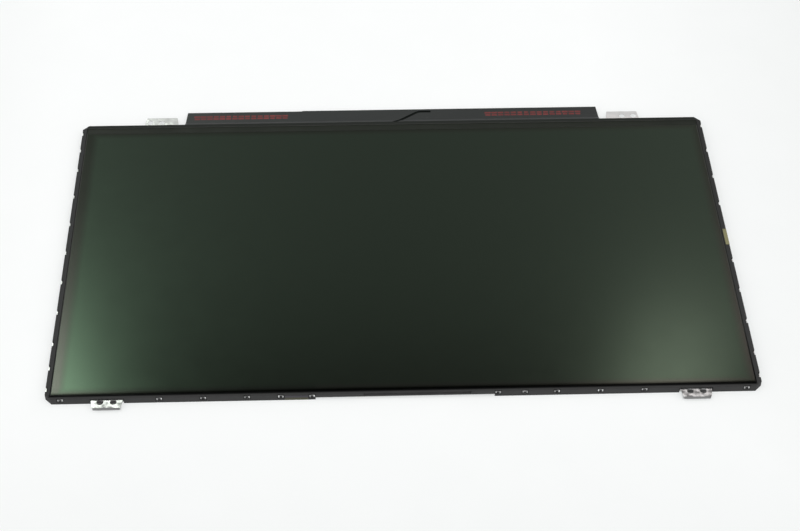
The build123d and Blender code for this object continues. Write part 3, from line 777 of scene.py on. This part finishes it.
def piece_tree(name, sizes):
    """Geometry tree with a point input, named sizes and a material; returns the tree and its two ends."""
    tree = bpy.data.node_groups.new(name, "GeometryNodeTree")
    tree.interface.new_socket("Geometry", in_out="INPUT", socket_type="NodeSocketGeometry")
    for size in sizes:
        tree.interface.new_socket(size, in_out="INPUT", socket_type="NodeSocketFloat")
    tree.interface.new_socket("Material", in_out="INPUT", socket_type="NodeSocketMaterial")
    tree.interface.new_socket("Geometry", in_out="OUTPUT", socket_type="NodeSocketGeometry")
    return tree, add(tree, "NodeGroupInput").outputs, add(tree, "NodeGroupOutput").inputs


def join(tree, *values):
    """Vector of three numbers."""
    node = add(tree, "ShaderNodeCombineXYZ")
    for socket, value in zip(node.inputs, values):
        feed(tree, socket, value)
    return node.outputs[0]


def finish_tree(tree, given, result, instances):
    """Ends a tree: real geometry with its material."""
    real = add(tree, "GeometryNodeRealizeInstances")
    painted = add(tree, "GeometryNodeSetMaterial")
    feed(tree, real.inputs["Geometry"], instances)
    feed(tree, painted.inputs["Geometry"], real.outputs[0])
    feed(tree, painted.inputs["Material"], given["Material"])
    feed(tree, result["Geometry"], painted.outputs[0])


def pad_tree():
    """Small block with a narrower lower face at each point, turned by the point's own angle."""
    tree, given, result = piece_tree("soldered_pads", ("Length", "Width", "Height"))
    half = arithmetic(tree, "MULTIPLY", given["Height"], 0.5)
    block = add(tree, "GeometryNodeMeshCube")
    feed(tree, block.inputs["Size"], join(tree, given["Length"], given["Width"], half))
    hung = add(tree, "GeometryNodeTransform")
    feed(tree, hung.inputs["Geometry"], block.outputs["Mesh"])
    feed(tree, hung.inputs["Translation"], join(tree, 0.0, 0.0, arithmetic(tree, "MULTIPLY", half, -0.5)))
    facing = split(tree, add(tree, "GeometryNodeInputNormal").outputs[0])["Z"]
    lower = add(tree, "FunctionNodeCompare", data_type="FLOAT", operation="LESS_THAN")
    feed(tree, lower.inputs["A"], facing)
    feed(tree, lower.inputs["B"], -0.5)
    drawn = add(tree, "GeometryNodeExtrudeMesh", mode="FACES")
    feed(tree, drawn.inputs["Mesh"], hung.outputs[0])
    feed(tree, drawn.inputs["Selection"], lower.outputs[0])
    feed(tree, drawn.inputs["Offset Scale"], half)
    feed(tree, drawn.inputs["Individual"], False)
    narrowed = add(tree, "GeometryNodeScaleElements", domain="FACE")
    feed(tree, narrowed.inputs["Geometry"], drawn.outputs["Mesh"])
    feed(tree, narrowed.inputs["Selection"], drawn.outputs["Top"])
    feed(tree, narrowed.inputs["Scale"], pad_taper)
    turn = add(tree, "GeometryNodeInputNamedAttribute", data_type="FLOAT")
    turn.inputs["Name"].default_value = "turn"
    rotation = add(tree, "FunctionNodeEulerToRotation")
    feed(tree, rotation.inputs[0], join(tree, 0.0, 0.0, turn.outputs["Attribute"]))
    placed = add(tree, "GeometryNodeInstanceOnPoints")
    feed(tree, placed.inputs["Points"], given["Geometry"])
    feed(tree, placed.inputs["Instance"], narrowed.outputs["Geometry"])
    feed(tree, placed.inputs["Rotation"], rotation.outputs[0])
    finish_tree(tree, given, result, placed.outputs[0])
    return tree


def dome_tree():
    """Low round pad with a sloping edge, hanging from each point."""
    tree, given, result = piece_tree("round_pads", ("Radius", "Height"))
    dome = add(tree, "GeometryNodeMeshCone")
    dome.inputs["Vertices"].default_value = via_corners
    feed(tree, dome.inputs["Radius Top"], given["Radius"])
    feed(tree, dome.inputs["Radius Bottom"], arithmetic(tree, "MULTIPLY", given["Radius"], via_taper))
    feed(tree, dome.inputs["Depth"], given["Height"])
    hung = add(tree, "GeometryNodeTransform")
    feed(tree, hung.inputs["Geometry"], dome.outputs["Mesh"])
    drop = arithmetic(tree, "MULTIPLY", given["Height"], -1.0)
    feed(tree, hung.inputs["Translation"], join(tree, 0.0, 0.0, drop))
    placed = add(tree, "GeometryNodeInstanceOnPoints")
    feed(tree, placed.inputs["Points"], given["Geometry"])
    feed(tree, placed.inputs["Instance"], hung.outputs[0])
    finish_tree(tree, given, result, placed.outputs[0])
    return tree


def print_tree():
    """Rows of short bars of uneven length about each point."""
    sizes = ("Width", "Depth", "Pitch", "Rows", "Bar Depth", "Thickness")
    tree, given, result = piece_tree("print_rows", sizes)
    lines = add(tree, "GeometryNodeMeshGrid")
    feed(tree, lines.inputs["Size X"], arithmetic(tree, "SUBTRACT", given["Width"], given["Pitch"]))
    feed(tree, lines.inputs["Size Y"], arithmetic(tree, "SUBTRACT", given["Depth"], given["Bar Depth"]))
    count = arithmetic(tree, "ROUND", arithmetic(tree, "DIVIDE", given["Width"], given["Pitch"]))
    feed(tree, lines.inputs["Vertices X"], count)
    feed(tree, lines.inputs["Vertices Y"], given["Rows"])
    length = add(tree, "FunctionNodeRandomValue", data_type="FLOAT")
    feed(tree, length.inputs[2], print_bar_shares[0])
    feed(tree, length.inputs[3], print_bar_shares[1])
    length.inputs["Seed"].default_value = print_seed
    bar = add(tree, "GeometryNodeMeshCube")
    feed(tree, bar.inputs["Size"], join(tree, given["Pitch"], given["Bar Depth"], given["Thickness"]))
    row = add(tree, "GeometryNodeInstanceOnPoints")
    feed(tree, row.inputs["Points"], lines.outputs["Mesh"])
    feed(tree, row.inputs["Instance"], bar.outputs["Mesh"])
    feed(tree, row.inputs["Scale"], join(tree, length.outputs[1], 1.0, 1.0))
    placed = add(tree, "GeometryNodeInstanceOnPoints")
    feed(tree, placed.inputs["Points"], given["Geometry"])
    feed(tree, placed.inputs["Instance"], row.outputs[0])
    finish_tree(tree, given, result, placed.outputs[0])
    return tree


def grown_piece(name, tree, points, turns, sizes, material):
    """Plain mesh grown by a tree on points, riding on the module."""
    seed_mesh = bpy.data.meshes.new(name + "_points")
    seed_mesh.from_pydata(points, [], [])
    turn = seed_mesh.attributes.new("turn", "FLOAT", "POINT")
    turn.data.foreach_set("value", turns)
    piece = bpy.data.objects.new(name, seed_mesh)
    scene.collection.objects.link(piece)
    modifier = piece.modifiers.new(name, "NODES")
    modifier.node_group = tree
    values = dict(sizes, Material=material)
    for socket in tree.interface.items_tree:
        if socket.in_out == "INPUT" and socket.name in values:
            modifier[socket.identifier] = values[socket.name]
    evaluated = piece.evaluated_get(bpy.context.evaluated_depsgraph_get())
    grown = bpy.data.meshes.new_from_object(evaluated)
    grown.name = name
    piece.modifiers.clear()
    piece.data = grown
    bpy.data.meshes.remove(seed_mesh)
    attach(piece, "root")


def solids_along(node):
    """Boxes of a node's separate solids, which stand apart along x."""
    points = sorted((vertex.co for vertex in nodes[node].data.vertices), key=lambda point: point.x)
    clusters = [[points[0]]]
    for point in points[1:]:
        if point.x - clusters[-1][-1].x > part_gap:
            clusters.append([])
        clusters[-1].append(point)
    return [(Vector(map(min, *cluster)), Vector(map(max, *cluster))) for cluster in clusters]


def end_caps(pads, tin, node):
    """Tinned caps round both ends of a row of small two-ended parts."""
    boxes = solids_along(node)
    low, high = boxes[0]
    inset = cap_length / 2 - cap_wrap
    points = []
    for box_low, box_high in boxes:
        for x in (box_low.x + inset, box_high.x - inset):
            points.append((x, (box_low.y + box_high.y) / 2, box_high.z))
    width, height = high.y - low.y + 2 * cap_wrap, high.z - low.z + cap_wrap
    sizes = {"Length": cap_length, "Width": width, "Height": height}
    grown_piece(node + "_end_caps", pads, points, [0.0] * len(points), sizes, tin)


def chip_leads(pads, tin, node, count, pitch):
    """Row of leads along each of a chip's four sides."""
    low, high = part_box(node)
    middle = (low + high) / 2
    points, turns = [], []
    for i in range(count):
        along = (i - (count - 1) / 2) * pitch
        for side in (low.x, high.x):
            points.append((side, middle.y + along, high.z))
            turns.append(0.0)
        for side in (low.y, high.y):
            points.append((middle.x + along, side, high.z))
            turns.append(radians(90))
    sizes = {"Length": lead_length, "Width": lead_share * pitch, "Height": lead_height}
    grown_piece(node + "_leads", pads, points, turns, sizes, tin)


def tail_socket_leads(pads, tin):
    """Row of leads behind the connector of the backlight's tail."""
    low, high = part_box("led_connector")
    first = (low.x + high.x) / 2 - (tail_leads - 1) / 2 * tail_lead_pitch
    points = [(first + i * tail_lead_pitch, high.y, high.z) for i in range(tail_leads)]
    turns = [radians(90)] * len(points)
    sizes = {"Length": tail_lead_length, "Width": tail_lead_width, "Height": lead_height}
    grown_piece("tail_socket_leads", pads, points, turns, sizes, tin)


def shell_feet(pads, tin):
    """Soldered feet at both ends of the signal connector's shell."""
    low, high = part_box("connector_shell")
    rows = [low.y + share * (high.y - low.y) for share in foot_shares]
    points = [(x, y, high.z) for x in (low.x, high.x) for y in rows]
    sizes = {"Length": foot_length, "Width": foot_width, "Height": foot_height}
    grown_piece("shell_feet", pads, points, [0.0] * len(points), sizes, tin)


def board_pads(domes, gold):
    """Scattered round test pads on the board's back, clear of the parts that stand there."""
    draw = random.Random(via_seed)
    low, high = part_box("driver_board")
    standing = ("timing_chip", "power_chip", "signal_connector", "led_connector")
    taken = [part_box(node) for node in standing]
    for node in ("inductors", "capacitors", "resistors"):
        taken += solids_along(node)
    count = int((high.x - low.x) / via_pitch)
    points = []
    for row in via_rows:
        for i in range(1, count):
            x, y = low.x + i * via_pitch, low.y + row
            clear = all(
                x < a.x - via_clearance or x > b.x + via_clearance
                or y < a.y - via_clearance or y > b.y + via_clearance for a, b in taken)
            if draw.random() < via_share and clear:
                points.append((x, y, low.z))
    sizes = {"Radius": via_radius, "Height": via_height}
    grown_piece("board_pads", domes, points, [0.0] * len(points), sizes, gold)


def cover_print(ink):
    """Two fields of plain red bars on the board's cover film."""
    tree = print_tree()
    low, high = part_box("board_cover")
    y = low.y + print_from_wall + print_depth / 2
    film_top = max(v.co.z for v in nodes["board_cover"].data.vertices if v.co.y > high.y - film_top_strip)
    for i, (start, end) in enumerate(print_fields):
        sizes = {
            "Width": end - start, "Depth": print_depth, "Pitch": print_pitch, "Rows": float(print_rows),
            "Bar Depth": print_bar_depth, "Thickness": print_thickness,
        }
        point = ((start + end) / 2, y, film_top)
        grown_piece(f"cover_print_{i + 1}", tree, [point], [0.0], sizes, ink)


# Camera, room and lamps


def place_camera():
    """Camera of the photograph."""
    data = bpy.data.cameras.new("camera")
    data.sensor_fit = "HORIZONTAL"
    data.sensor_width = camera_sensor
    data.lens = camera_lens
    camera = bpy.data.objects.new("camera", data)
    aim = (camera_aim - camera_place).to_track_quat("-Z", "Y")
    camera.rotation_mode = "QUATERNION"
    camera.rotation_quaternion = aim @ Quaternion((0, 0, 1), camera_roll)
    camera.location = camera_place
    scene.collection.objects.link(camera)
    scene.camera = camera


def softbox(name, azimuth, elevation, width, height, radiance, colour):
    """Square-edged lamp in a direction from the screen, its sides given as angles."""
    data = bpy.data.lights.new(name, "AREA")
    data.shape = "RECTANGLE"
    data.size = 2 * lamp_distance * tan(width / 2)
    data.size_y = 2 * lamp_distance * tan(height / 2)
    data.energy = lamp_watts * radiance * data.size * data.size_y
    data.color = colour
    direction = Vector((sin(azimuth) * cos(elevation), cos(azimuth) * cos(elevation), sin(elevation)))
    lamp = bpy.data.objects.new(name, data)
    lamp.rotation_mode = "QUATERNION"
    lamp.rotation_quaternion = direction.to_track_quat("Z", "Y")
    lamp.location = direction * lamp_distance
    lamp.visible_diffuse = False
    scene.collection.objects.link(lamp)


def light_room():
    """Light on dull surfaces, mostly from the upper front; walls and a panel overhead in reflections."""
    world = bpy.data.worlds.new("room")
    world.use_nodes = True
    scene.world = world
    tree = world.node_tree
    background = tree.nodes["Background"]
    background.inputs["Color"].default_value = (1, 1, 1, 1)
    across, along, up = split(tree, add(tree, "ShaderNodeTexCoord").outputs["Generated"])
    aside = arithmetic(tree, "SUBTRACT", across, wall_middle)
    gain = arithmetic(tree, "MULTIPLY", arithmetic(tree, "MULTIPLY", aside, aside), wall_side_gain)
    wall = arithmetic(tree, "MINIMUM", arithmetic(tree, "ADD", gain, wall_level), 1.0)
    below_top = remap(tree, up, sin(wall_top[0]), sin(wall_top[1]), 1.0, 0.0)
    overhead = remap(tree, up, sin(overhead_edge[0]), sin(overhead_edge[1]), 0.0, overhead_level)
    picture = arithmetic(tree, "MAXIMUM", arithmetic(tree, "MULTIPLY", wall, below_top), overhead)
    path = add(tree, "ShaderNodeLightPath").outputs
    mirrored = arithmetic(tree, "MAXIMUM", path["Is Glossy Ray"], path["Is Transmission Ray"])
    slant = arithmetic(tree, "MULTIPLY", arithmetic(tree, "MULTIPLY", along, up), 2 * front_gain)
    even = arithmetic(tree, "MULTIPLY", arithmetic(tree, "SUBTRACT", 1.0, slant), room_level)
    level = either(tree, mirrored, even, picture)
    feed(tree, background.inputs["Strength"], either(tree, path["Is Camera Ray"], level, 1.0))


def floor_finish():
    """White paper with a glow of its own, with painted shade under the near ears."""
    finish = Finish("white_paper", {"IOR": 1.3, "Emission Strength": 1.0})
    fibre = finish.grain(size=1.2 * MM)
    paper = finish.between(fibre["Tone"], (0.475, 0.475, 0.475), (0.485, 0.485, 0.485))
    middle = finish.window(paper_low, paper_high, paper_fade)
    glow = finish.between(middle, corner_glow, paper_glow)
    # Painted shade on the floor under each near ear: no glow and darker paper
    for low, high in near_ears():
        under = finish.window(low + ear_shade, high - ear_shade + ear_shade_back, ear_shade_edge)
        glow = finish.between(under, glow, (0, 0, 0))
        paper = finish.between(under, paper, ear_shade_tone)
    finish.set("Base Color", paper)
    finish.set("Emission Color", glow)
    finish.set("Roughness", finish.range(fibre["Height"], 0.8, 0.95))
    return finish.material


def lay_floor():
    """Large sheet of paper just under the module."""
    half = floor_size / 2
    mesh = bpy.data.meshes.new("floor")
    corners = [(x * half, y * half, -floor_drop) for x, y in ((-1, -1), (1, -1), (1, 1), (-1, 1))]
    mesh.from_pydata(corners, [], [(0, 1, 2, 3)])
    mesh.materials.append(floor_finish())
    floor = bpy.data.objects.new("floor", mesh)
    scene.collection.objects.link(floor)


scene.view_settings.view_transform = "Standard"
place_camera()
light_room()
for lamp_name, aim, span, level, tint in softboxes:
    softbox(lamp_name, *map(radians, aim + span), level, tint)
lay_floor()
dress_nodes()

pads = pad_tree()
domes = dome_tree()
tin = plating("bright_tin", (0.62, 0.62, 0.60), (0.74, 0.74, 0.72))
gold = plating("pad_gold", (0.74, 0.52, 0.22), (0.86, 0.64, 0.30))
for row in ("capacitors", "resistors"):
    end_caps(pads, tin, row)
chip_leads(pads, tin, "timing_chip", timing_leads, timing_lead_pitch)
chip_leads(pads, tin, "power_chip", power_leads, power_lead_pitch)
tail_socket_leads(pads, tin)
shell_feet(pads, tin)
board_pads(domes, gold)
cover_print(red_ink())
